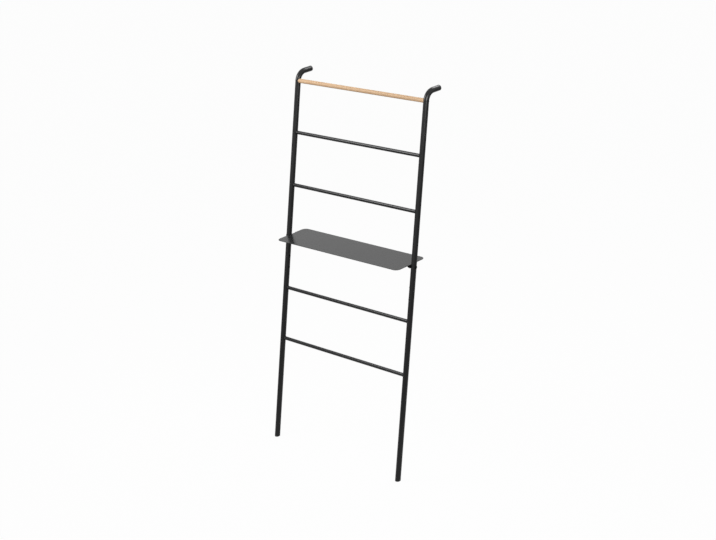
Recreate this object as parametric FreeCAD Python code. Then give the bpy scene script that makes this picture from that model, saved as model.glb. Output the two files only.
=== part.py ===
"""Leaning towel ladder: two hooked steel uprights, a wooden bar, four rungs and a shelf.

Millimetres, +Z up. The ladder leans back on a wall at its +Y side, and its front faces -Y. The origin is on
the floor, midway between the uprights and midway between the front of the feet and the wall.
"""

import FreeCAD
import Part
import math
import os

# Stance
lean_angle = 12.2  # degrees that the uprights lean back from the vertical
upright_spacing = 712.0  # between the axes of the two uprights

# Uprights: round tube in two lengths, bent back to the wall at the top
upright_diameter = 23.0
upright_wall = 1.2
bend_radius = 42.5  # of the tube's axis
bend_above_bar = 0.5  # from the wooden bar's axis to the start of the bend
hook_spare = 16.5  # straight tube between the bend and the end of the wall cap's plug
tube_edge_break = 0.4  # chamfer on the two tube ends that meet at the joint

# Rungs and bar: heights are measured along an upright, from where its axis meets the floor
lowest_rung = 444.0
rung_pitch = 222.5
rung_steps = (4, 3, 1, 0)  # pitches above the lowest rung, from the top down
shelf_step = 2  # the shelf takes this place in the row of rungs
shelf_rise = 2.3  # of the shelf's bolts above that place
bar_gap = 216.0  # from the top rung's axis to the wooden bar's axis
rung_diameter = 15.0
rung_wall = 1.0
bar_diameter = 18.0
weld_gap = 0.1  # between a coped end and the upright that it fits

# Joint between an upper and a lower upright
joint_drop = 110.0  # from the shelf bolt down to the joint
joint_screw_gap = 24.5  # from the joint to the screw above it and to the one below it
spigot_screw_gap = 28.0  # from a joint screw's axis to the spigot's end
spigot_wall = 1.5
spigot_clearance = 0.15  # all round, inside the uprights

# Shelf: one bent sheet with an ear at each end
shelf_depth = 170.0
shelf_thickness = 2.0
shelf_corner_radius = 22.0
shelf_edge_round = 0.6
shelf_side_gap = 0.1  # between an ear and the upright
ear_width = 46.0
ear_drop = 16.5  # from the shelf's top to the lowest point of an ear's curved edge
bend_inner_radius = 1.5
relief_width = 2.5  # notches beside an ear that free its bend
relief_depth = 1.0  # how far they reach past the bend
nut_room = 0.3  # between the shelf nut's flange and the ear's bend

# Fasteners
hole_clearance = 0.3  # all round a screw in its hole
thread_clearance = 0.05  # all round a screw in its nut or insert
head_rim = 0.6  # straight edge under a domed head
socket_depth_share = 0.6  # of the head's height
shelf_bolt_diameter = 5.0
shelf_bolt_head = 12.5
shelf_bolt_head_height = 3.2
shelf_bolt_socket = 3.0
shelf_bolt_projection = 2.0  # past the nut
shelf_nut_flats = 8.0
shelf_nut_height = 5.0
shelf_nut_flange = 11.0
shelf_nut_flange_height = 1.2
joint_screw_diameter = 5.0
joint_screw_head = 9.5
joint_screw_head_height = 2.6
joint_screw_socket = 3.0
joint_nut_flats = 8.0
joint_nut_height = 4.0
bar_screw_diameter = 5.0
bar_screw_head = 9.0
bar_screw_head_height = 1.8
bar_screw_socket = 3.0
bar_insert_diameter = 8.0
bar_insert_length = 13.0
bar_insert_setback = 2.0  # from the bottom of the bar's coped end
bar_insert_clearance = 0.05  # glue line round the insert
bar_drill_spare = 4.0  # hole past the end of the insert

# End caps: moulded plugs with fins that grip the tube
wall_cap_thickness = 5.0
wall_cap_round = 2.0
foot_cap_height = 6.0  # along the upright, from the floor to the tube's end
foot_cap_bevel = 0.8
plug_length = 18.0
plug_core_diameter = 17.0
plug_bore_diameter = 12.0
plug_bore_floor = 2.0  # solid end under the plug's bore
plug_clearance = 0.1  # between the fins and the tube
fin_count = 2
fin_height = 2.0

# Sizes and places that follow from those above
upright_radius = upright_diameter / 2
bore_radius = upright_radius - upright_wall
lean = math.radians(lean_angle)
along = FreeCAD.Vector(0, math.sin(lean), math.cos(lean))  # up an upright
back = FreeCAD.Vector(0, math.cos(lean), -math.sin(lean))  # square to it, towards the wall
wall_way = FreeCAD.Vector(0, 1, 0)
across = FreeCAD.Vector(1, 0, 0)
upward = FreeCAD.Vector(0, 0, 1)
bend_turn = 90 - lean_angle

shelf_position = lowest_rung + shelf_step * rung_pitch + shelf_rise
bar_position = lowest_rung + max(rung_steps) * rung_pitch + bar_gap
bend_start = bar_position + bend_above_bar
hook_length = plug_length + hook_spare
joint_position = shelf_position - joint_drop
upper_screw_position = joint_position + joint_screw_gap
lower_screw_position = joint_position - joint_screw_gap
spigot_top = upper_screw_position + spigot_screw_gap
spigot_bottom = lower_screw_position - spigot_screw_gap
spigot_radius = bore_radius - spigot_clearance
insert_start = upright_radius + weld_gap + bar_insert_setback  # from an upright's axis

bend_outer_radius = bend_inner_radius + shelf_thickness
shelf_bolt_drop = bend_outer_radius + nut_room + shelf_nut_flange / 2
ear_curve_drop = ear_drop - bend_outer_radius
ear_radius = ((ear_width / 2) ** 2 + ear_curve_drop ** 2) / (2 * ear_curve_drop)
shelf_half_width = upright_spacing / 2 - upright_radius - shelf_side_gap
wall_reach = bend_start * math.sin(lean) + bend_radius * math.cos(lean) + hook_length + wall_cap_thickness
foot_reach = upright_radius / math.cos(lean) - foot_cap_bevel * math.sin(lean)
foot_y = (foot_reach - wall_reach) / 2

sides = {"left": -1, "right": 1}


def on_upright(side, position):
    """Point on an upright's axis, at a length measured up from the floor."""
    return FreeCAD.Vector(side * upright_spacing / 2, foot_y, 0) + along * position


def outward(side):
    """Direction from the middle of the ladder to one side."""
    return across * side


def turned_to(shape, point, direction):
    """Shape modelled along +Z at the origin, set at a point along a direction."""
    shape.Placement = FreeCAD.Placement(point, FreeCAD.Rotation(upward, direction))
    return shape


def hexagon_prism(flats, height):
    """Hexagon prism on the XY plane."""
    corner = FreeCAD.Vector(flats / math.sqrt(3), 0, 0)
    turns = [FreeCAD.Rotation(upward, 60 * step) for step in range(7)]
    outline = Part.makePolygon([turn.multVec(corner) for turn in turns])
    return Part.Face(outline).extrude(upward * height)


def domed_screw(diameter, length, head, head_height, socket):
    """Screw along -Z with a domed head above the XY plane and a hexagon socket in the head."""
    crown = head_height - head_rim
    crown_radius = ((head / 2) ** 2 + crown ** 2) / (2 * crown)
    dome = Part.makeSphere(crown_radius, upward * (head_height - crown_radius))
    shape = Part.makeCylinder(head / 2, head_height).common(dome)
    shape = shape.fuse(Part.makeCylinder(diameter / 2, length, FreeCAD.Vector(), -upward))
    socket_depth = head_height * socket_depth_share
    recess = hexagon_prism(socket, socket_depth)
    recess.translate(upward * (head_height - socket_depth))
    return shape.cut(recess).removeSplitter()


def rod(side, start, end, radius):
    """Straight round rod along an upright's axis."""
    return Part.makeCylinder(radius, end - start, on_upright(side, start), along)


def hooked_rod(side, start, radius):
    """Round rod along an upright's axis, round the bend and on to the end of the hook."""
    bend_foot = on_upright(side, bend_start)
    bend_centre = bend_foot + back * bend_radius
    section = Part.Face(Part.Wire(Part.makeCircle(radius, bend_foot, along)))
    bend = section.revolve(bend_centre, -across, bend_turn)
    tail = Part.makeCylinder(radius, hook_length, bend_centre + upward * bend_radius, wall_way)
    return rod(side, start, bend_start, radius).fuse([bend, tail])


def hook_end(side):
    """Centre of the tube's end at the top of an upright."""
    return on_upright(side, bend_start) + back * bend_radius + upward * bend_radius + wall_way * hook_length


def cross_hole(side, position, diameter, start, end):
    """Cutter for a hole across an upright, between two distances outward from its axis."""
    way = outward(side)
    point = on_upright(side, position) + way * start
    return Part.makeCylinder(diameter / 2 + hole_clearance, end - start, point, way)


def break_joint_edge(tube, side):
    """Chamfer the outer edge of a tube's end at the joint."""
    centre = on_upright(side, joint_position)
    rims = [edge for edge in tube.Edges if edge.CenterOfMass.isEqual(centre, 0.01)]
    outer = max(rims, key=lambda edge: edge.Length)
    return tube.makeChamfer(tube_edge_break, [outer])


def screw_hole(side, position):
    """Cutter for a joint screw's hole in the inner side of an upright or a spigot."""
    return cross_hole(side, position, joint_screw_diameter, -upright_diameter, 0)


def upper_upright(side):
    """Tube from the joint to the hook's end, drilled for its joint screw, the shelf bolt and the bar screw."""
    tube = hooked_rod(side, joint_position, upright_radius).cut(hooked_rod(side, joint_position, bore_radius))
    tube = break_joint_edge(tube, side)
    for position, diameter in ((shelf_position, shelf_bolt_diameter), (bar_position, bar_screw_diameter)):
        tube = tube.cut(cross_hole(side, position, diameter, -upright_diameter, upright_diameter))
    return tube.cut(screw_hole(side, upper_screw_position))


def lower_upright(side):
    """Tube from the foot cap to the joint, drilled on its inner side for its joint screw."""
    tube = rod(side, foot_cap_height, joint_position, upright_radius)
    tube = tube.cut(rod(side, foot_cap_height, joint_position, bore_radius))
    tube = break_joint_edge(tube, side)
    return tube.cut(screw_hole(side, lower_screw_position))


def joint_spigot(side):
    """Inner tube that slides into an upper and a lower upright and is screwed to both."""
    tube = rod(side, spigot_bottom, spigot_top, spigot_radius)
    tube = tube.cut(rod(side, spigot_bottom, spigot_top, spigot_radius - spigot_wall))
    return tube.cut([screw_hole(side, upper_screw_position), screw_hole(side, lower_screw_position)])


def joint_nut(side, position):
    """Weld nut on the spigot's inner wall, with its seat curved to that wall."""
    seat = spigot_radius - spigot_wall
    nut = hexagon_prism(joint_nut_flats, joint_nut_height)
    nut = nut.cut(Part.makeCylinder(joint_screw_diameter / 2 + thread_clearance, joint_nut_height))
    inner_face = on_upright(side, position) - outward(side) * (seat - joint_nut_height)
    nut = turned_to(nut, inner_face, -outward(side))
    return nut.common(rod(side, spigot_bottom, spigot_top, seat))


def joint_screw(side, position):
    """Screw from the ladder's inner side through an upright into one of the spigot's nuts."""
    length = upright_radius - spigot_radius + spigot_wall + joint_nut_height
    screw = domed_screw(
        joint_screw_diameter, length, joint_screw_head, joint_screw_head_height, joint_screw_socket
    )
    seat = on_upright(side, position) - outward(side) * upright_radius
    return turned_to(screw, seat, -outward(side))


def between_uprights(position, radius):
    """Round bar from one upright's axis to the other's, coped to fit both."""
    bar = Part.makeCylinder(radius, upright_spacing, on_upright(-1, position), across)
    for side in sides.values():
        bar = bar.cut(hooked_rod(side, foot_cap_height, upright_radius + weld_gap))
    return bar


def rung(step):
    """Coped tube welded between the uprights."""
    position = lowest_rung + step * rung_pitch
    bore = Part.makeCylinder(rung_diameter / 2 - rung_wall, upright_spacing, on_upright(-1, position), across)
    return between_uprights(position, rung_diameter / 2).cut(bore)


def wood_bar():
    """Turned bar, drilled in both ends for its inserts."""
    bar = between_uprights(bar_position, bar_diameter / 2)
    drill_radius = bar_insert_diameter / 2 + bar_insert_clearance
    depth = insert_start + bar_insert_length + bar_drill_spare
    for side in sides.values():
        bar = bar.cut(Part.makeCylinder(drill_radius, depth, on_upright(side, bar_position), -outward(side)))
    return bar


def bar_insert(side):
    """Threaded sleeve glued into one end of the wooden bar."""
    inward = -outward(side)
    start = on_upright(side, bar_position) + inward * insert_start
    sleeve = Part.makeCylinder(bar_insert_diameter / 2, bar_insert_length, start, inward)
    thread = Part.makeCylinder(bar_screw_diameter / 2 + thread_clearance, bar_insert_length, start, inward)
    return sleeve.cut(thread)


def bar_screw(side):
    """Low-headed screw from outside, through the upright into the bar's insert."""
    length = upright_radius + insert_start + bar_insert_length
    screw = domed_screw(bar_screw_diameter, length, bar_screw_head, bar_screw_head_height, bar_screw_socket)
    return turned_to(screw, on_upright(side, bar_position) + outward(side) * upright_radius, outward(side))


def shelf_outline():
    """Flat sheet with round corners and softened edges, centred on the origin with its top on the XY plane."""
    corner = FreeCAD.Vector(-shelf_half_width, -shelf_depth / 2, -shelf_thickness)
    sheet = Part.makeBox(2 * shelf_half_width, shelf_depth, shelf_thickness, corner)
    upright_edges = [edge for edge in sheet.Edges if abs(edge.tangentAt(edge.FirstParameter).z) > 0.5]
    sheet = sheet.makeFillet(shelf_corner_radius, upright_edges)
    rims = [edge for face in sheet.Faces if abs(face.normalAt(0, 0).z) > 0.5 for edge in face.Edges]
    return sheet.makeFillet(shelf_edge_round, rims)


def shelf_ear():
    """Bent end of the sheet at +X: a strip that turns down into an ear with a curved edge and the bolt's hole."""
    flat_end = shelf_half_width - bend_outer_radius - relief_depth

    def at(x, z):
        return FreeCAD.Vector(x, -ear_width / 2, z)

    def bend_arc(radius, start, end):
        share = radius * math.sqrt(0.5)
        middle = at(shelf_half_width - bend_outer_radius + share, -bend_outer_radius + share)
        return Part.Arc(start, middle, end).toShape()

    top = [at(flat_end, 0), at(shelf_half_width - bend_outer_radius, 0)]
    outer = [at(shelf_half_width, -bend_outer_radius), at(shelf_half_width, -ear_drop)]
    inner = [
        at(shelf_half_width - shelf_thickness, -ear_drop),
        at(shelf_half_width - shelf_thickness, -bend_outer_radius),
    ]
    under = [at(shelf_half_width - bend_outer_radius, -shelf_thickness), at(flat_end, -shelf_thickness)]
    section = Part.Wire(
        [
            Part.makeLine(*top),
            bend_arc(bend_outer_radius, top[1], outer[0]),
            Part.makeLine(*outer),
            Part.makeLine(outer[1], inner[0]),
            Part.makeLine(*inner),
            bend_arc(bend_inner_radius, inner[1], under[0]),
            Part.makeLine(*under),
            Part.makeLine(under[1], top[0]),
        ]
    )
    strip = Part.Face(section).extrude(FreeCAD.Vector(0, ear_width, 0))

    curve_centre = upward * (ear_radius - ear_drop)
    curved_end = Part.makeCylinder(ear_radius, upright_spacing, curve_centre, across)
    bend_corner = FreeCAD.Vector(0, -ear_width / 2, -bend_outer_radius)
    straight_sides = Part.makeBox(upright_spacing, ear_width, bend_outer_radius, bend_corner)
    bolt_hole = Part.makeCylinder(
        shelf_bolt_diameter / 2 + hole_clearance,
        upright_spacing,
        FreeCAD.Vector(0, 0, -shelf_bolt_drop),
        across,
    )
    return strip.common(curved_end.fuse(straight_sides)).cut(bolt_hole)


def shelf_plate():
    """Sheet with both ears, set level at its height on the uprights."""
    plate = shelf_outline()
    notch_depth = bend_outer_radius + relief_depth
    notch_width = ear_width + 2 * relief_width
    notch = Part.makeBox(
        notch_depth,
        notch_width,
        shelf_thickness,
        FreeCAD.Vector(shelf_half_width - notch_depth, -notch_width / 2, -shelf_thickness),
    )
    ear = shelf_ear()
    half_turn = FreeCAD.Placement(FreeCAD.Vector(), FreeCAD.Rotation(upward, 180))
    for placement in (FreeCAD.Placement(), half_turn):
        plate = plate.cut(notch.transformed(placement.toMatrix()))
        plate = plate.fuse(ear.transformed(placement.toMatrix()))
    plate = plate.removeSplitter()
    bolt_line = on_upright(1, shelf_position)
    plate.translate(FreeCAD.Vector(0, bolt_line.y, bolt_line.z + shelf_bolt_drop))
    return plate


def shelf_bolt(side):
    """Bolt from outside, through the upright and the shelf's ear."""
    stack = upright_diameter + shelf_side_gap + shelf_thickness + shelf_nut_height
    bolt = domed_screw(
        shelf_bolt_diameter,
        stack + shelf_bolt_projection,
        shelf_bolt_head,
        shelf_bolt_head_height,
        shelf_bolt_socket,
    )
    return turned_to(bolt, on_upright(side, shelf_position) + outward(side) * upright_radius, outward(side))


def shelf_nut(side):
    """Flanged nut on the inner face of the shelf's ear."""
    nut = hexagon_prism(shelf_nut_flats, shelf_nut_height)
    nut = nut.fuse(Part.makeCylinder(shelf_nut_flange / 2, shelf_nut_flange_height))
    nut = nut.cut(Part.makeCylinder(shelf_bolt_diameter / 2 + thread_clearance, shelf_nut_height))
    ear_face = upright_radius + shelf_side_gap + shelf_thickness
    return turned_to(nut, on_upright(side, shelf_position) - outward(side) * ear_face, -outward(side))


def finned_plug():
    """Part of an end cap that grips the tube: a cored barrel along +Z with fins round it."""
    plug = Part.makeCylinder(plug_core_diameter / 2, plug_length)
    fin_pitch = plug_length / (fin_count + 1)
    for number in range(1, fin_count + 1):
        middle = upward * (number * fin_pitch - fin_height / 2)
        plug = plug.fuse(Part.makeCylinder(bore_radius - plug_clearance, fin_height, middle))
    bore_length = plug_length - plug_bore_floor
    return plug.cut(Part.makeCylinder(plug_bore_diameter / 2, bore_length, upward * plug_bore_floor))


def wall_cap(side):
    """Cap on a hook's end, with a flat round face for the wall."""
    flange = Part.makeCylinder(upright_radius, wall_cap_thickness, FreeCAD.Vector(), -upward)
    face_edge = [edge for edge in flange.Edges if abs(edge.CenterOfMass.z + wall_cap_thickness) < 0.01]
    cap = flange.makeFillet(wall_cap_round, face_edge).fuse(finned_plug())
    return turned_to(cap, hook_end(side), -wall_way)


def foot_cap(side):
    """Cap on an upright's lower end, cut level where it stands on the floor."""
    tube_end = on_upright(side, foot_cap_height)
    overlength = foot_cap_height + upright_diameter * math.tan(lean)
    flange = Part.makeCylinder(upright_radius, overlength, tube_end, -along)
    room = 2 * upright_diameter
    below = Part.makeBox(room, room, room, on_upright(side, 0) - FreeCAD.Vector(room / 2, room / 2, room))
    flange = flange.cut(below)
    floor_edge = [edge for edge in flange.Edges if edge.BoundBox.ZMax < 0.01]
    flange = flange.makeChamfer(foot_cap_bevel, floor_edge)
    return flange.fuse(turned_to(finned_plug(), tube_end, along))


def export(name, *solids):
    """Write one node; like pieces that share a node stay separate solids."""
    shape = solids[0] if len(solids) == 1 else Part.makeCompound(solids)
    shape.exportStep(f"parts/{name}.step")


def main():
    os.makedirs("parts", exist_ok=True)
    single_pieces = {
        "upper_upright": upper_upright,
        "lower_upright": lower_upright,
        "joint_spigot": joint_spigot,
        "wall_cap": wall_cap,
        "foot_cap": foot_cap,
    }
    for name, make in single_pieces.items():
        for side_name, side in sides.items():
            export(f"{side_name}_{name}", make(side))
    paired_pieces = {
        "bar_screws": bar_screw,
        "bar_inserts": bar_insert,
        "shelf_bolts": shelf_bolt,
        "shelf_nuts": shelf_nut,
    }
    for name, make in paired_pieces.items():
        export(name, *[make(side) for side in sides.values()])
    screw_positions = (upper_screw_position, lower_screw_position)
    screw_places = [(side, position) for side in sides.values() for position in screw_positions]
    export("joint_screws", *[joint_screw(*place) for place in screw_places])
    export("joint_nuts", *[joint_nut(*place) for place in screw_places])
    for number, step in enumerate(rung_steps, 1):
        export(f"rung_{number}", rung(step))
    export("wood_bar", wood_bar())
    export("shelf_plate", shelf_plate())


main()
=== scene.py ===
"""Leaning towel ladder: finishes, weld beads, screws and studio for the packed model.

Metres, +Z up. The ladder leans back on a wall at its +Y side, and its front faces -Y.
"""

import math

import bpy
from bpy.props import FloatProperty, FloatVectorProperty, IntProperty, PointerProperty
from bpy.types import NodeSocket, Operator, Panel, PropertyGroup
from mathutils import Matrix, Vector


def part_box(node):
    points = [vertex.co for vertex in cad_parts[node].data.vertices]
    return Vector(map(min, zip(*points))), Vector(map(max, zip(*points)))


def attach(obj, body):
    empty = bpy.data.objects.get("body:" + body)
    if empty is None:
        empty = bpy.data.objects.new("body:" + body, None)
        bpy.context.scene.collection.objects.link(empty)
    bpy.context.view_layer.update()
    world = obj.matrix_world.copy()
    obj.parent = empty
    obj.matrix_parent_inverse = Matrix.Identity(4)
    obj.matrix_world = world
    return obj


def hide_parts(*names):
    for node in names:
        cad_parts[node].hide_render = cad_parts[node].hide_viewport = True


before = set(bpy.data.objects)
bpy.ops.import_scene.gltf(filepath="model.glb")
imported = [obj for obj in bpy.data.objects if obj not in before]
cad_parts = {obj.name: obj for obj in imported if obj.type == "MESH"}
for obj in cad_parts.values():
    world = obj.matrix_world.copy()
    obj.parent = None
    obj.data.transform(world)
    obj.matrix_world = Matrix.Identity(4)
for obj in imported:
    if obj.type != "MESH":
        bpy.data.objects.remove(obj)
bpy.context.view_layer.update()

bl_info = {
    "name": "Towel Ladder Looks",
    "version": (1, 0, 0),
    "blender": (4, 5, 0),
    "location": "3D View > Sidebar > Ladder",
    "description": "Finishes, weld beads, screws and studio of a leaning towel ladder",
    "category": "Object",
}

mm = 0.001
across = Vector((1, 0, 0))
sides = {"left": -1, "right": 1}
outward = 1
inward = -1
rungs = ("rung_1", "rung_2", "rung_3", "rung_4")

crease_angle = math.radians(32)  # edges sharper than this stay crisp
join_distance = 0.001 * mm  # points closer than this become one
hair = 0.01 * mm  # slack when points are picked by their place

noise_low = 0.3  # most values of a noise lie between these two
noise_high = 0.7
cloud_low = 0.32  # the same for the soft clouds of tone
cloud_high = 0.68
cloud_scale = 11.0  # clouds per metre
cloud_detail = 4.0

white = (1, 1, 1, 1)
mix_share = 0  # sockets of a node that mixes two colours
mix_first = 6
mix_second = 7
mix_colour = 2


def middle(node):
    """Centre of a CAD node's box."""
    low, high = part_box(node)
    return (low + high) / 2


def half_height(node):
    """Half the height of a CAD node's box."""
    low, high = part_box(node)
    return (high.z - low.z) / 2


upright_x = middle("right_lower_upright").x
upright_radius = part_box("right_lower_upright")[1].x - upright_x
upright_outside = upright_x + upright_radius
upright_inside = upright_x - upright_radius
rung_radius = half_height("rung_1")
up_the_upright = (middle("rung_1") - middle("rung_4")).normalized()
to_the_wall = up_the_upright.cross(across)


def length_of(name, description, default):
    """Property for a length in metres."""
    return FloatProperty(
        name=name, description=description, default=default, min=0, precision=5, unit="LENGTH"
    )


def share_of(name, description, default):
    """Property for a share from 0 to 1."""
    return FloatProperty(
        name=name, description=description, default=default, min=0, max=1, subtype="FACTOR"
    )


def colour_of(name, description, default):
    """Property for a linear colour."""
    return FloatVectorProperty(
        name=name, description=description, default=default, min=0, max=1, size=3, subtype="COLOR"
    )


def place_of(name, description, default):
    """Property for a point in metres."""
    return FloatVectorProperty(
        name=name, description=description, default=default, subtype="TRANSLATION", unit="LENGTH"
    )


def power_of(name, description, default):
    """Property for a lamp's power in watts."""
    return FloatProperty(name=name, description=description, default=default, min=0, unit="POWER")


class CoatSettings(PropertyGroup):
    """Charcoal powder coat of the steel"""

    deep: colour_of("Deep", "Darkest tone of the coat", (0.0065, 0.0067, 0.007))
    pale: colour_of("Pale", "Lightest tone of the coat", (0.0095, 0.0097, 0.0101))
    smooth: share_of("Smooth", "Lowest roughness", 0.2)
    rough: share_of("Rough", "Highest roughness", 0.29)
    gloss: share_of("Gloss", "Specular level", 0.34)
    grain_size: length_of("Peel Size", "Width of one dimple of the coat's texture", 0.9 * mm)
    grain_depth: length_of("Peel Depth", "Depth of the dimples", 0.02 * mm)


class WoodSettings(PropertyGroup):
    """Oiled wood of the bar"""

    early: colour_of("Early Wood", "Pale tone between the growth rings", (0.67, 0.465, 0.285))
    late: colour_of("Late Wood", "Dark tone of the growth rings", (0.585, 0.38, 0.213))
    fleck: colour_of("Fleck", "Tone of the short flecks", (0.43, 0.25, 0.13))
    ring_width: length_of("Ring Width", "Distance between growth rings", 3.2 * mm)
    fibre_width: length_of("Fibre Width", "Width of the fine fibres", 0.35 * mm)
    fibre_depth: length_of("Fibre Depth", "Depth of the grooves between fibres", 0.03 * mm)
    fleck_length: length_of("Fleck Length", "Length of the flecks", 5.0 * mm)
    smooth: share_of("Smooth", "Lowest roughness", 0.42)
    rough: share_of("Rough", "Highest roughness", 0.58)
    gloss: share_of("Gloss", "Specular level", 0.35)


class RubberSettings(PropertyGroup):
    """Moulded rubber of the end caps"""

    deep: colour_of("Deep", "Darkest tone of the rubber", (0.009, 0.009, 0.0095))
    pale: colour_of("Pale", "Lightest tone of the rubber", (0.014, 0.014, 0.0145))
    smooth: share_of("Smooth", "Lowest roughness", 0.55)
    rough: share_of("Rough", "Highest roughness", 0.7)
    gloss: share_of("Gloss", "Specular level", 0.3)
    grain_size: length_of("Grain Size", "Width of the mould's fine grain", 0.5 * mm)
    grain_depth: length_of("Grain Depth", "Depth of that grain", 0.03 * mm)


class ZincSettings(PropertyGroup):
    """Zinc plating of the nuts and spigots"""

    deep: colour_of("Deep", "Tone of the dull crystals", (0.42, 0.43, 0.45))
    pale: colour_of("Pale", "Tone of the bright crystals", (0.56, 0.57, 0.6))
    smooth: share_of("Smooth", "Lowest roughness", 0.28)
    rough: share_of("Rough", "Highest roughness", 0.45)
    gloss: share_of("Gloss", "Specular level", 0.5)
    grain_size: length_of("Grain Size", "Width of the crystals", 0.6 * mm)
    grain_depth: length_of("Grain Depth", "Height of the crystals", 0.01 * mm)


class BrassSettings(PropertyGroup):
    """Turned brass of the bar's sleeves"""

    deep: colour_of("Deep", "Tone of tarnished brass", (0.5, 0.34, 0.13))
    pale: colour_of("Pale", "Tone of bright brass", (0.66, 0.48, 0.2))
    smooth: share_of("Smooth", "Lowest roughness", 0.22)
    rough: share_of("Rough", "Highest roughness", 0.38)
    gloss: share_of("Gloss", "Specular level", 0.5)
    grain_size: length_of("Grain Size", "Width of the fine marks", 0.5 * mm)
    grain_depth: length_of("Grain Depth", "Depth of the fine marks", 0.01 * mm)


class ScrewSettings(PropertyGroup):
    """Black screws and flanged shelf nuts"""

    deep: colour_of("Deep", "Tone of the black oxide", (0.002, 0.002, 0.0021))
    pale: colour_of("Pale", "Tone where the oxide is thin", (0.005, 0.0049, 0.0048))
    smooth: share_of("Smooth", "Lowest roughness", 0.4)
    rough: share_of("Rough", "Highest roughness", 0.55)
    gloss: share_of("Gloss", "Specular level", 0.05)
    grain_size: length_of("Grain Size", "Width of the oxide's grain", 0.4 * mm)
    grain_depth: length_of("Grain Depth", "Depth of that grain", 0.01 * mm)
    socket: length_of("Socket", "Width of the hexagon sockets across their flats", 3 * mm)
    pitch: length_of("Pitch", "Pitch of the threads", 0.8 * mm)
    thread_depth: length_of("Thread Depth", "Depth of the threads", 0.4 * mm)
    nut_flats: length_of("Nut Flats", "Shelf nut's width across its flats", 8 * mm)
    nut_flange: length_of("Nut Flange", "Thickness of the shelf nut's flange", 1.2 * mm)


class WeldSettings(PropertyGroup):
    """Coated beads that hold the rungs"""

    # The beads' deep and pale tones are darker than the steel's coat: painted shade where each rung meets
    # its upright
    deep: colour_of("Deep", "Darkest tone of the coat on the beads", (0.003, 0.003, 0.0032))
    pale: colour_of("Pale", "Lightest tone of the coat on the beads", (0.006, 0.006, 0.0062))
    smooth: share_of("Smooth", "Lowest roughness", 0.5)
    rough: share_of("Rough", "Highest roughness", 0.65)
    gloss: share_of("Gloss", "Specular level", 0.15)
    grain_size: length_of("Grain Size", "Width of the coat's grain", 0.5 * mm)
    grain_depth: length_of("Grain Depth", "Depth of that grain", 0.02 * mm)
    bead_radius: length_of("Bead Radius", "Leg of the weld bead", 1.7 * mm)
    ripples: IntProperty(
        name="Ripples", description="Ripples round one bead, an even number", default=26, min=8, max=60
    )
    ripple: share_of("Ripple", "How much thinner the bead is between two ripples", 0.16)


class StudioSettings(PropertyGroup):
    """Camera, lamps and floor"""

    camera_place: place_of("Camera Place", "Where the camera stands", (4.4585, -4.3739, 3.1353))
    camera_turn: FloatVectorProperty(
        name="Camera Turn",
        description="How the camera is turned",
        default=(math.radians(69.268), math.radians(4.659), math.radians(43.589)),
        subtype="EULER",
        unit="ROTATION",
    )
    sensor: FloatProperty(
        name="Sensor", description="Width of the camera's sensor in millimetres", default=36, min=1
    )
    lens: FloatProperty(name="Lens", description="Focal length in millimetres", default=81.24, min=1)
    fill: FloatProperty(
        name="Fill", description="Strength of the light from all round", default=0.38, min=0
    )
    left_lamp_place: place_of("Left Lamp Place", "Where the left soft lamp hangs", (-0.9, -0.8, 2.15))
    left_lamp_power: power_of("Left Lamp Power", "Power of the left lamp", 16)
    right_lamp_place: place_of("Right Lamp Place", "Where the right soft lamp hangs", (1.5, -0.63, 1.95))
    right_lamp_power: power_of("Right Lamp Power", "Power of the right lamp", 17)
    back_lamp_place: place_of("Back Lamp Place", "Where the soft lamp at the back hangs", (0.2, 1.4, 2.6))
    back_lamp_power: power_of("Back Lamp Power", "Power of the lamp at the back", 14)
    lamp_size: length_of("Lamp Size", "Width of each soft lamp", 0.8)
    floor_colour: colour_of("Floor", "Colour of the floor", (0.7, 0.7, 0.7))
    floor_white: share_of("Floor White", "How much of the floor shows as plain white", 0.97)
    floor_shine: share_of("Floor Shine", "How much of that white a gloss on the ladder shows", 0.05)
    floor_size: length_of("Floor Size", "Width of the floor", 80)


def put(tree, kind, sockets=None, **settings):
    """Add a shader node; sockets maps its inputs to values or to other nodes' outputs."""
    node = tree.nodes.new(kind)
    for name, value in settings.items():
        setattr(node, name, value)
    for name, value in (sockets or {}).items():
        if isinstance(value, NodeSocket):
            tree.links.new(value, node.inputs[name])
        else:
            node.inputs[name].default_value = value
    return node


def opaque(colour):
    """Linear colour with full alpha."""
    return (*colour, 1)


def ramp(tree, factor, *stops):
    """Colour that goes from stop to stop of (place, colour) as a factor rises."""
    node = put(tree, "ShaderNodeValToRGB", {"Fac": factor})
    elements = node.color_ramp.elements
    while len(elements) < len(stops):
        elements.new(1)
    for element, (place, colour) in zip(elements, stops):
        element.position = place
        element.color = opaque(colour)
    return node.outputs["Color"]


def between(tree, factor, low, high):
    """Number that goes from low to high as a noise's factor rises."""
    sockets = {
        "Value": factor,
        "From Min": noise_low,
        "From Max": noise_high,
        "To Min": low,
        "To Max": high,
    }
    return put(tree, "ShaderNodeMapRange", sockets).outputs["Result"]


def combined(tree, operation, first, second):
    """Result of an operation on two numbers."""
    return put(tree, "ShaderNodeMath", {0: first, 1: second}, operation=operation).outputs[0]


def mixed(tree, share, first, second, blend="MIX"):
    """Share of a second colour laid over a first one."""
    sockets = {mix_share: share, mix_first: first, mix_second: second}
    return put(tree, "ShaderNodeMix", sockets, data_type="RGBA", blend_type=blend).outputs[mix_colour]


def mixed_shaders(tree, share, first, second):
    """Shader node that shows a share of a second shader node and the rest of a first one."""
    return put(tree, "ShaderNodeMixShader", {0: share, 1: first.outputs[0], 2: second.outputs[0]})


def noise(tree, vector, scale, detail=2.0):
    """Soft random pattern."""
    sockets = {"Vector": vector, "Scale": scale, "Detail": detail}
    return put(tree, "ShaderNodeTexNoise", sockets).outputs["Fac"]


def stretched(tree, vector, scale):
    """Object coordinates scaled along each axis."""
    return put(tree, "ShaderNodeMapping", {"Vector": vector, "Scale": scale}).outputs["Vector"]


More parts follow.
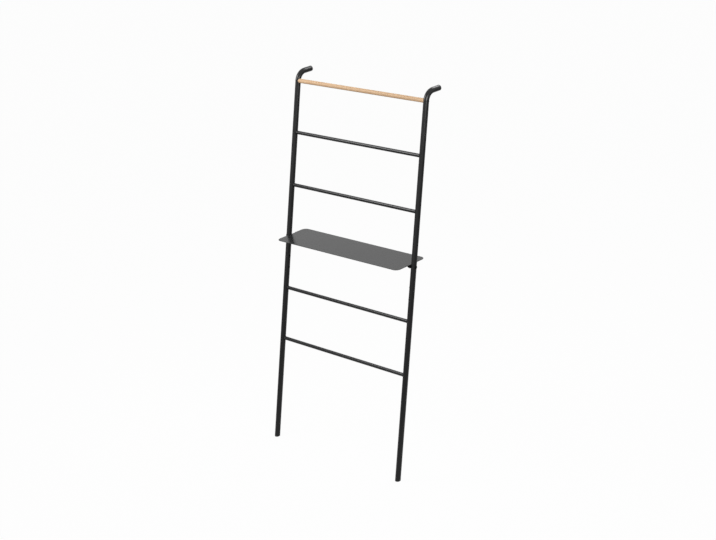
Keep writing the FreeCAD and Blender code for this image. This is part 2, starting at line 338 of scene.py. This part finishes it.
def bumped(tree, height, depth):
    """Normal pushed in and out by a height pattern of a given depth."""
    return put(tree, "ShaderNodeBump", {"Height": height, "Distance": depth}).outputs["Normal"]


def start_finish(name):
    """Empty node material and its object coordinates."""
    finish = bpy.data.materials.new(name)
    finish.use_nodes = True
    tree = finish.node_tree
    tree.nodes.clear()
    return finish, tree, put(tree, "ShaderNodeTexCoord").outputs["Object"]


def end_finish(tree, sockets):
    """Surface shader of a finish, joined to its output."""
    shader = put(tree, "ShaderNodeBsdfPrincipled", sockets)
    put(tree, "ShaderNodeOutputMaterial", {"Surface": shader.outputs["BSDF"]})


def grained_finish(name, settings, metallic=0.0):
    """Even finish with soft clouds of tone and a fine grain, as on paint, rubber or plating."""
    finish, tree, place = start_finish(name)
    clouds = noise(tree, place, cloud_scale, cloud_detail)
    grain = noise(tree, place, 1 / settings.grain_size)
    sockets = {
        "Base Color": ramp(tree, clouds, (cloud_low, settings.deep), (cloud_high, settings.pale)),
        "Roughness": between(tree, grain, settings.smooth, settings.rough),
        "Normal": bumped(tree, grain, settings.grain_depth),
        "Specular IOR Level": settings.gloss,
        "Metallic": metallic,
    }
    end_finish(tree, sockets)
    return finish


def dress(finish, *nodes):
    """Give CAD nodes a finish."""
    for name in nodes:
        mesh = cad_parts[name].data
        mesh.materials.clear()
        mesh.materials.append(finish)


def both(kind):
    """Names of a left and a right piece of one kind."""
    return [f"{side}_{kind}" for side in sides]


def settle(piece, finish):
    """Finish a new piece, and let it ride with the ladder."""
    piece.data.materials.clear()
    piece.data.materials.append(finish)
    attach(piece, "root")


def pick_out(piece):
    """Make a piece the only one selected, and the active one."""
    bpy.ops.object.select_all(action="DESELECT")
    piece.select_set(True)
    bpy.context.view_layer.objects.active = piece


def copy_to(pattern, name, place):
    """Copy of a modelled piece with its own mesh, moved to its place."""
    pick_out(pattern)
    bpy.ops.object.duplicate()
    piece = bpy.context.object
    piece.name = name
    piece.data.name = name
    piece.matrix_world = place
    bpy.ops.object.transform_apply(location=True, rotation=True, scale=True)
    return piece


def throw_away(pattern):
    """Remove a pattern once its copies are made."""
    mesh = pattern.data
    bpy.data.objects.remove(pattern)
    bpy.data.meshes.remove(mesh)


def close_mesh():
    """Join points that meet, and face all faces outward, in edit mode."""
    bpy.ops.mesh.select_all(action="SELECT")
    bpy.ops.mesh.remove_doubles(threshold=join_distance)
    bpy.ops.mesh.normals_make_consistent(inside=False)
    bpy.ops.object.mode_set(mode="OBJECT")


def turned(name, rings, bored=False, segments=60):
    """Solid of revolution about +Z: a disc extruded from ring to ring of (radius, height)."""
    radius, height = rings[0]
    bpy.ops.object.select_all(action="DESELECT")
    bpy.ops.mesh.primitive_circle_add(vertices=segments, radius=radius, fill_type="NGON")
    piece = bpy.context.object
    piece.name = name
    bpy.ops.object.mode_set(mode="EDIT")
    bpy.ops.transform.translate(value=(0, 0, height))
    for next_radius, next_height in rings[1:]:
        bpy.ops.mesh.extrude_region_move(TRANSFORM_OT_translate={"value": (0, 0, next_height - height)})
        scale = next_radius / radius
        bpy.ops.transform.resize(value=(scale, scale, 1), center_override=(0, 0, next_height))
        radius, height = next_radius, next_height
    if bored:
        bpy.ops.mesh.select_all(action="DESELECT")
        bpy.ops.mesh.select_face_by_sides(number=4, type="GREATER")
        bpy.ops.mesh.delete(type="FACE")
    close_mesh()
    return piece


def shape_hexagon(piece, flats, low, high, inner, outer):
    """Trim the rings between two heights and two radii to a hexagon."""
    for vertex in piece.data.vertices:
        radius = vertex.co.xy.length
        if low <= vertex.co.z <= high and inner <= radius <= outer:
            turn = math.atan2(vertex.co.x, vertex.co.y) % (math.pi / 3)
            edge = flats / 2 / math.cos(turn - math.pi / 6)
            vertex.co.xy *= min(1, edge / radius)


def shape_thread(piece, radius, pitch, depth, low, high):
    """Press a helical groove into a shank between two heights, fading out at its upper end."""
    for vertex in piece.data.vertices:
        height = vertex.co.z
        if low < height < high and abs(vertex.co.xy.length - radius) < hair:
            phase = (height / pitch - math.atan2(vertex.co.y, vertex.co.x) / math.tau) % 1
            fade = min(1, (high - height) / pitch)
            vertex.co.xy *= 1 - fade * depth / radius * abs(2 * phase - 1)


def smooth_shade(piece):
    """Smooth shading that leaves sharp edges crisp."""
    pick_out(piece)
    bpy.ops.object.shade_smooth_by_angle(angle=crease_angle)


def pieces_on_right(node):
    """Points of each of a CAD node's pieces on the right-hand side, from the lowest piece up."""
    apart = 5 * mm
    points = [vertex.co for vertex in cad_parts[node].data.vertices if vertex.co.x > 0]
    points.sort(key=lambda point: point.z)
    pieces = [[points[0]]]
    for point in points[1:]:
        if point.z - pieces[-1][-1].z > apart:
            pieces.append([])
        pieces[-1].append(point)
    return pieces


def axis_and_radius(points):
    """Point on the axis of a round piece that lies along X, and its greatest radius."""
    low, high = (Vector(map(pick, zip(*points))) for pick in (min, max))
    return (low + high) / 2, (high.z - low.z) / 2


def screw_measures(node, seat):
    """Head radius, head height, shank radius and shank length of a CAD screw.

    seat is how far from X = 0 its head sits.
    """
    points = pieces_on_right(node)[0]
    axis, head_radius = axis_and_radius(points)
    low, high = (pick(point.x for point in points) for pick in (min, max))
    head_outside = high - seat < seat - low
    top, tip = (high, low) if head_outside else (low, high)
    end = [point for point in points if abs(point.x - tip) < hair]
    shank_radius = max((point.yz - axis.yz).length for point in end)
    return head_radius, abs(top - seat), shank_radius, abs(tip - seat)


def model_screw(name, sizes, settings):
    """Domed screw with a hexagon socket and a threaded shank, its seat on the XY plane and its head up."""
    head_radius, head_height, shank_radius, shank_length = sizes
    corner = settings.socket / math.sqrt(3)
    lead_in = 0.2 * mm
    rim = 0.6 * mm
    soft = 0.15 * mm
    tip_bevel = 0.5 * mm
    plain_share = 0.35  # of the shank, under the head
    rings_per_turn = 6
    dome_rings = 9
    floor_share = 0.4  # height of the socket's floor in the head

    thread_top = -plain_share * shank_length
    thread_length = thread_top + shank_length - tip_bevel
    tip = [(shank_radius - tip_bevel, -shank_length), (shank_radius, tip_bevel - shank_length)]
    steps = math.ceil(thread_length / settings.pitch * rings_per_turn)
    step = thread_length / steps
    shank = [(shank_radius, tip_bevel - shank_length + step * number) for number in range(1, steps + 1)]
    seat = [(shank_radius, 0), (head_radius - soft, 0), (head_radius, soft), (head_radius, rim)]

    mouth = corner + lead_in
    crown_centre = (mouth**2 + head_height**2 - head_radius**2 - rim**2) / (2 * (head_height - rim))
    crown_radius = math.hypot(head_radius, rim - crown_centre)
    dome = []
    for number in range(1, dome_rings + 1):
        radius = head_radius + (mouth - head_radius) * number / dome_rings
        dome.append((radius, crown_centre + math.sqrt(crown_radius**2 - radius**2)))
    socket_top = head_height - lead_in
    socket_floor = head_height * floor_share
    drill_point = (0.1 * corner, socket_floor - 0.25 * corner)
    socket = [(corner, socket_top), (corner, socket_floor), drill_point]

    screw = turned(name, tip + shank + seat + dome + socket)
    low, high = socket_floor - soft, socket_top + soft
    shape_hexagon(screw, settings.socket, low, high, 0.5 * corner, corner + soft / 2)
    shape_thread(screw, shank_radius, settings.pitch, settings.thread_depth, -shank_length, thread_top)
    smooth_shade(screw)
    return screw


def model_flange_nut(name, sizes, settings):
    """Hexagon nut on a round flange with a bevelled top, its seat on the XY plane."""
    flange_radius, height, bore = sizes
    corner = settings.nut_flats / math.sqrt(3)
    bevel = 0.4 * mm
    flange = settings.nut_flange
    flange_edge = 0.6 * flange
    slope = (corner - settings.nut_flats / 2) * math.tan(math.radians(30))
    rings = [
        (bore, height - bevel),
        (bore, bevel),
        (bore + bevel, 0),
        (flange_radius - bevel / 2, 0),
        (flange_radius, bevel / 2),
        (flange_radius, flange_edge),
        (corner + bevel, flange),
        (corner, flange + bevel),
        (corner, height - slope),
        (settings.nut_flats / 2, height),
        (bore + bevel, height),
        (bore, height - bevel),
    ]
    nut = turned(name, rings, bored=True)
    shape_hexagon(nut, settings.nut_flats, flange + bevel / 2, height, bore + 2 * bevel, 2 * corner)
    smooth_shade(nut)
    return nut


def facing(point, way):
    """Placement of a piece modelled along +Z: at a point, turned along +X or -X."""
    return Matrix.Translation(point) @ Matrix.Rotation(way * math.pi / 2, 4, "Y")


def fit_both_sides(pattern, node, seat, way, finish):
    """Set copies of a piece on each side, in place of the CAD node that holds them all.

    seat is how far from X = 0 they sit, and way is outward or inward.
    """
    kind = node[:-1]
    pieces = pieces_on_right(node)
    levels = ("lower_", "upper_") if len(pieces) == 2 else ("",)
    for level, points in zip(levels, pieces):
        axis, _ = axis_and_radius(points)
        for side_name, side in sides.items():
            place = facing(Vector((side * seat, axis.y, axis.z)), side * way)
            piece = copy_to(pattern, f"{side_name}_{level}{kind}", place)
            settle(piece, finish)
            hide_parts(node)
    throw_away(pattern)


class LADDER_OT_coat_steel(Operator):
    """Coat the uprights, rungs and shelf"""

    bl_idname = "ladder.coat_steel"
    bl_label = "Coat Steel"

    def execute(self, context):
        finish = grained_finish("charcoal_coat", context.scene.ladder_coat)
        dress(finish, *both("upper_upright"), *both("lower_upright"), *rungs, "shelf_plate")
        return {"FINISHED"}


class LADDER_OT_grain_bar(Operator):
    """Give the wooden bar its grain"""

    bl_idname = "ladder.grain_bar"
    bl_label = "Grain Bar"

    def execute(self, context):
        wood = context.scene.ladder_wood
        finish, tree, place = start_finish("oiled_wood")
        rings_along = 0.03  # rings and fibres are drawn out along the bar by these shares
        rings_deep = 0.55
        fibres_along = 0.012
        fleck_fineness = 1.3  # flecks are this much narrower than fibres
        ring_scale = 1 / wood.ring_width
        fibre_scale = 1 / wood.fibre_width
        fleck_scale = fleck_fineness * fibre_scale
        ring_bed = stretched(tree, place, (rings_along * ring_scale, rings_deep * ring_scale, ring_scale))
        fibre_bed = stretched(tree, place, (fibres_along * fibre_scale, fibre_scale, fibre_scale))
        fleck_bed = stretched(tree, place, (1 / wood.fleck_length, fleck_scale, fleck_scale))
        growth = noise(tree, ring_bed, 1.0, detail=1.5)
        fibres = noise(tree, fibre_bed, 1.0, detail=3.0)
        flecks = noise(tree, fleck_bed, 1.0, detail=0.0)

        rings = ((0.34, wood.early), (0.56, wood.late), (0.60, wood.early), (0.72, wood.late))
        streaks = ((0.25, (0.86, 0.84, 0.82)), (0.7, (1.04, 1.04, 1.04)))
        grain = mixed(tree, 1.0, ramp(tree, growth, *rings), ramp(tree, fibres, *streaks), "MULTIPLY")
        fleck_share = between(tree, flecks, -1.6, 0.9)
        sockets = {
            "Base Color": mixed(tree, fleck_share, grain, opaque(wood.fleck)),
            "Roughness": between(tree, fibres, wood.rough, wood.smooth),
            "Normal": bumped(tree, fibres, wood.fibre_depth),
            "Specular IOR Level": wood.gloss,
        }
        end_finish(tree, sockets)
        dress(finish, "wood_bar")
        return {"FINISHED"}


class LADDER_OT_mould_caps(Operator):
    """Give the wall and foot caps their rubber"""

    bl_idname = "ladder.mould_caps"
    bl_label = "Mould Caps"

    def execute(self, context):
        finish = grained_finish("black_elastomer", context.scene.ladder_rubber)
        dress(finish, *both("wall_cap"), *both("foot_cap"))
        return {"FINISHED"}


class LADDER_OT_plate_hidden_steel(Operator):
    """Give the pieces inside the tubes and the bar their zinc and brass"""

    bl_idname = "ladder.plate_hidden_steel"
    bl_label = "Plate Hidden Pieces"

    def execute(self, context):
        zinc = grained_finish("zinc_steel", context.scene.ladder_zinc, metallic=1.0)
        brass = grained_finish("brass_sleeve", context.scene.ladder_brass, metallic=1.0)
        dress(zinc, *both("joint_spigot"), "joint_nuts")
        dress(brass, "bar_inserts")
        return {"FINISHED"}


class LADDER_OT_weld_rungs(Operator):
    """Lay a rippled bead round both ends of every rung"""

    bl_idname = "ladder.weld_rungs"
    bl_label = "Weld Rungs"

    def execute(self, context):
        weld = context.scene.ladder_welds
        bpy.ops.object.select_all(action="DESELECT")
        bpy.ops.curve.primitive_bezier_circle_add(radius=rung_radius)
        pattern = bpy.context.object
        bpy.ops.object.mode_set(mode="EDIT")
        bpy.ops.curve.select_all(action="SELECT")
        bpy.ops.curve.subdivide(number_cuts=weld.ripples // 2 - 1)
        bpy.ops.object.mode_set(mode="OBJECT")
        ring = pattern.data
        for number, point in enumerate(ring.splines[0].bezier_points):
            sideways, upwards, _ = point.co
            reach = math.sqrt(upright_radius**2 - sideways**2)
            point.handle_left_type = "AUTO"
            point.handle_right_type = "AUTO"
            point.co = to_the_wall * sideways + up_the_upright * upwards - across * reach
            point.radius = 1 - weld.ripple * (number % 2)
        ring.dimensions = "3D"
        ring.resolution_u = 3
        ring.bevel_depth = weld.bead_radius
        ring.bevel_resolution = 4
        bpy.ops.object.convert(target="MESH")
        pattern = bpy.context.object
        bpy.ops.object.mode_set(mode="EDIT")
        close_mesh()
        bpy.ops.object.shade_smooth()

        # The beads get a darker coat than the steel: painted shade where the rungs meet the uprights
        finish = grained_finish("bead_coat", weld)
        for rung in rungs:
            for side_name, side in sides.items():
                point = middle(rung) + across * side * upright_x
                turn = Matrix.Rotation(0 if side > 0 else math.pi, 4, up_the_upright)
                bead = copy_to(pattern, f"{rung}_{side_name}_weld", Matrix.Translation(point) @ turn)
                settle(bead, finish)
        throw_away(pattern)
        return {"FINISHED"}


class LADDER_OT_fit_screws(Operator):
    """Fit the shelf bolts, bar screws and joint screws with sockets and threads"""

    bl_idname = "ladder.fit_screws"
    bl_label = "Fit Screws"

    def execute(self, context):
        settings = context.scene.ladder_screws
        finish = grained_finish("black_screws", settings)
        seats = {
            "shelf_bolts": (upright_outside, outward),
            "bar_screws": (upright_outside, outward),
            "joint_screws": (upright_inside, inward),
        }
        for node, (seat, way) in seats.items():
            pattern = model_screw(f"{node}_pattern", screw_measures(node, seat), settings)
            fit_both_sides(pattern, node, seat, way, finish)
        return {"FINISHED"}


class LADDER_OT_fit_shelf_nuts(Operator):
    """Fit the flanged nuts on the shelf's ears"""

    bl_idname = "ladder.fit_shelf_nuts"
    bl_label = "Fit Shelf Nuts"

    def execute(self, context):
        settings = context.scene.ladder_screws
        node = "shelf_nuts"
        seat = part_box(node)[1].x
        nearest = min(abs(vertex.co.x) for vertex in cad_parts[node].data.vertices)
        bore = screw_measures("shelf_bolts", upright_outside)[2]
        pattern = model_flange_nut(f"{node}_pattern", (half_height(node), seat - nearest, bore), settings)
        fit_both_sides(pattern, node, seat, inward, bpy.data.materials["zinc_steel"])
        return {"FINISHED"}


def seen_rays(tree, shine):
    """1 for what the camera or a clear surface looks at, a share for a gloss, 0 for other light."""
    rays = put(tree, "ShaderNodeLightPath").outputs
    straight = combined(tree, "MAXIMUM", rays["Is Camera Ray"], rays["Is Transmission Ray"])
    gloss = combined(tree, "MULTIPLY", rays["Is Glossy Ray"], shine)
    return combined(tree, "MAXIMUM", straight, gloss)


class LADDER_OT_set_studio(Operator):
    """Set up the camera, the lamps and the white floor"""

    bl_idname = "ladder.set_studio"
    bl_label = "Set Studio"

    def execute(self, context):
        studio = context.scene.ladder_studio

        bpy.ops.object.camera_add(location=studio.camera_place, rotation=studio.camera_turn)
        camera = bpy.context.object
        camera.name = "photo_camera"
        camera.data.sensor_fit = "HORIZONTAL"
        camera.data.sensor_width = studio.sensor
        camera.data.lens = studio.lens
        context.scene.camera = camera

        for name in ("left", "right", "back"):
            place = Vector(getattr(studio, f"{name}_lamp_place"))
            turn = (middle("shelf_plate") - place).to_track_quat("-Z", "Y").to_euler()
            bpy.ops.object.light_add(type="AREA", location=place, rotation=turn)
            lamp = bpy.context.object
            lamp.name = f"{name}_lamp"
            lamp.data.energy = getattr(studio, f"{name}_lamp_power")
            lamp.data.size = studio.lamp_size

        world = bpy.data.worlds.new("studio_air")
        world.use_nodes = True
        tree = world.node_tree
        tree.nodes.clear()
        fill = put(tree, "ShaderNodeBackground", {"Color": white, "Strength": studio.fill})
        backdrop = put(tree, "ShaderNodeBackground", {"Color": white, "Strength": 1.0})
        air = mixed_shaders(tree, seen_rays(tree, 1.0), fill, backdrop)
        put(tree, "ShaderNodeOutputWorld", {"Surface": air.outputs[0]})
        context.scene.world = world

        bpy.ops.object.select_all(action="DESELECT")
        bpy.ops.mesh.primitive_plane_add(size=studio.floor_size)
        floor = bpy.context.object
        floor.name = "studio_floor"
        paint, tree, _ = start_finish("floor_paint")
        matt = put(tree, "ShaderNodeBsdfDiffuse", {"Color": opaque(studio.floor_colour)})
        plain = put(tree, "ShaderNodeEmission", {"Color": white, "Strength": 1.0})
        seen = combined(tree, "MULTIPLY", seen_rays(tree, studio.floor_shine), studio.floor_white)
        lit = mixed_shaders(tree, seen, matt, plain)
        clear = put(tree, "ShaderNodeBsdfTransparent")
        below = put(tree, "ShaderNodeNewGeometry").outputs["Backfacing"]
        sheet = mixed_shaders(tree, below, lit, clear)
        put(tree, "ShaderNodeOutputMaterial", {"Surface": sheet.outputs[0]})
        floor.data.materials.append(paint)

        context.scene.view_settings.view_transform = "Standard"
        return {"FINISHED"}


settings_of = {
    "ladder_coat": CoatSettings,
    "ladder_wood": WoodSettings,
    "ladder_rubber": RubberSettings,
    "ladder_zinc": ZincSettings,
    "ladder_brass": BrassSettings,
    "ladder_screws": ScrewSettings,
    "ladder_welds": WeldSettings,
    "ladder_studio": StudioSettings,
}
operators = (
    LADDER_OT_coat_steel,
    LADDER_OT_grain_bar,
    LADDER_OT_mould_caps,
    LADDER_OT_plate_hidden_steel,
    LADDER_OT_weld_rungs,
    LADDER_OT_fit_screws,
    LADDER_OT_fit_shelf_nuts,
    LADDER_OT_set_studio,
)


class LADDER_PT_looks(Panel):
    """Ladder's settings and the operators that use them"""

    bl_idname = "LADDER_PT_looks"
    bl_label = "Towel Ladder"
    bl_space_type = "VIEW_3D"
    bl_region_type = "UI"
    bl_category = "Ladder"

    def draw(self, context):
        for name, group in settings_of.items():
            column = self.layout.box().column()
            column.label(text=group.__doc__)
            for setting in group.__annotations__:
                column.prop(getattr(context.scene, name), setting)
        for operator in operators:
            self.layout.operator(operator.bl_idname)


def register():
    for group in settings_of.values():
        bpy.utils.register_class(group)
    for name, group in settings_of.items():
        setattr(bpy.types.Scene, name, PointerProperty(type=group))
    for operator in operators:
        bpy.utils.register_class(operator)
    bpy.utils.register_class(LADDER_PT_looks)


def unregister():
    bpy.utils.unregister_class(LADDER_PT_looks)
    for operator in reversed(operators):
        bpy.utils.unregister_class(operator)
    for name in settings_of:
        delattr(bpy.types.Scene, name)
    for group in reversed(settings_of.values()):
        bpy.utils.unregister_class(group)


def main():
    register()
    bpy.ops.ladder.coat_steel()
    bpy.ops.ladder.grain_bar()
    bpy.ops.ladder.mould_caps()
    bpy.ops.ladder.plate_hidden_steel()
    bpy.ops.ladder.weld_rungs()
    bpy.ops.ladder.fit_screws()
    bpy.ops.ladder.fit_shelf_nuts()
    bpy.ops.ladder.set_studio()


if __name__ == "__main__":
    main()
